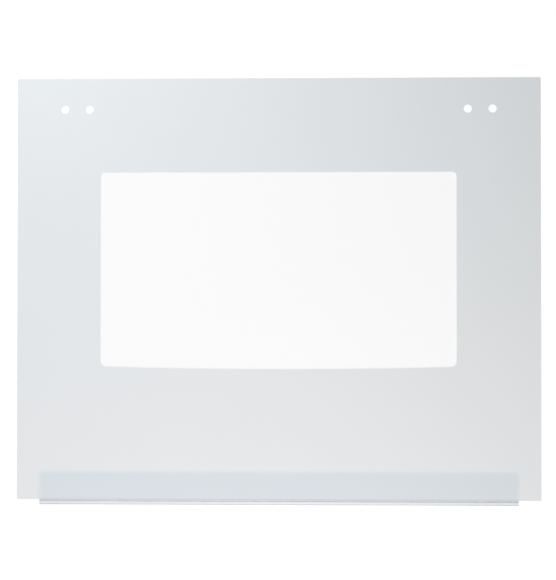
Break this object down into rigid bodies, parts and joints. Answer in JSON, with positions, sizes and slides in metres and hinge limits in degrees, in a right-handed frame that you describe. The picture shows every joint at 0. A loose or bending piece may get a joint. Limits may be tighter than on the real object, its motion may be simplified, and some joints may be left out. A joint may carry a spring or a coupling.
{
  "type": "oven door glass",
  "caption": "Flat outer glass for an oven door: white printed border round a clear window, handle screw holes near the top edge, and a hemmed metal strip bonded behind the lower edge.",
  "frame": {"origin": "middle of the bottom of the whole part's box, on the floor that the part lies on", "axes": "X along the width, +Y towards the glass's top edge with the handle holes, +Z out of the front face"},
  "size_m": [0.673, 0.5482, 0.0058],
  "materials": {
    "clear_glass": "clear toughened float glass, front polished flat, rims and holes ground and polished",
    "white_enamel": "white ceramic enamel screen printed on the back of the glass and fired, smooth and glossy where seen through the glass, faintly grained on its own back",
    "zinc_steel": "bright zinc coated sheet steel, satin"
  },
  "bodies": {
    "root": {"door_glass": "clear_glass", "enamel_border": "white_enamel", "bottom_strip": "zinc_steel"}
  },
  "joints": []
}
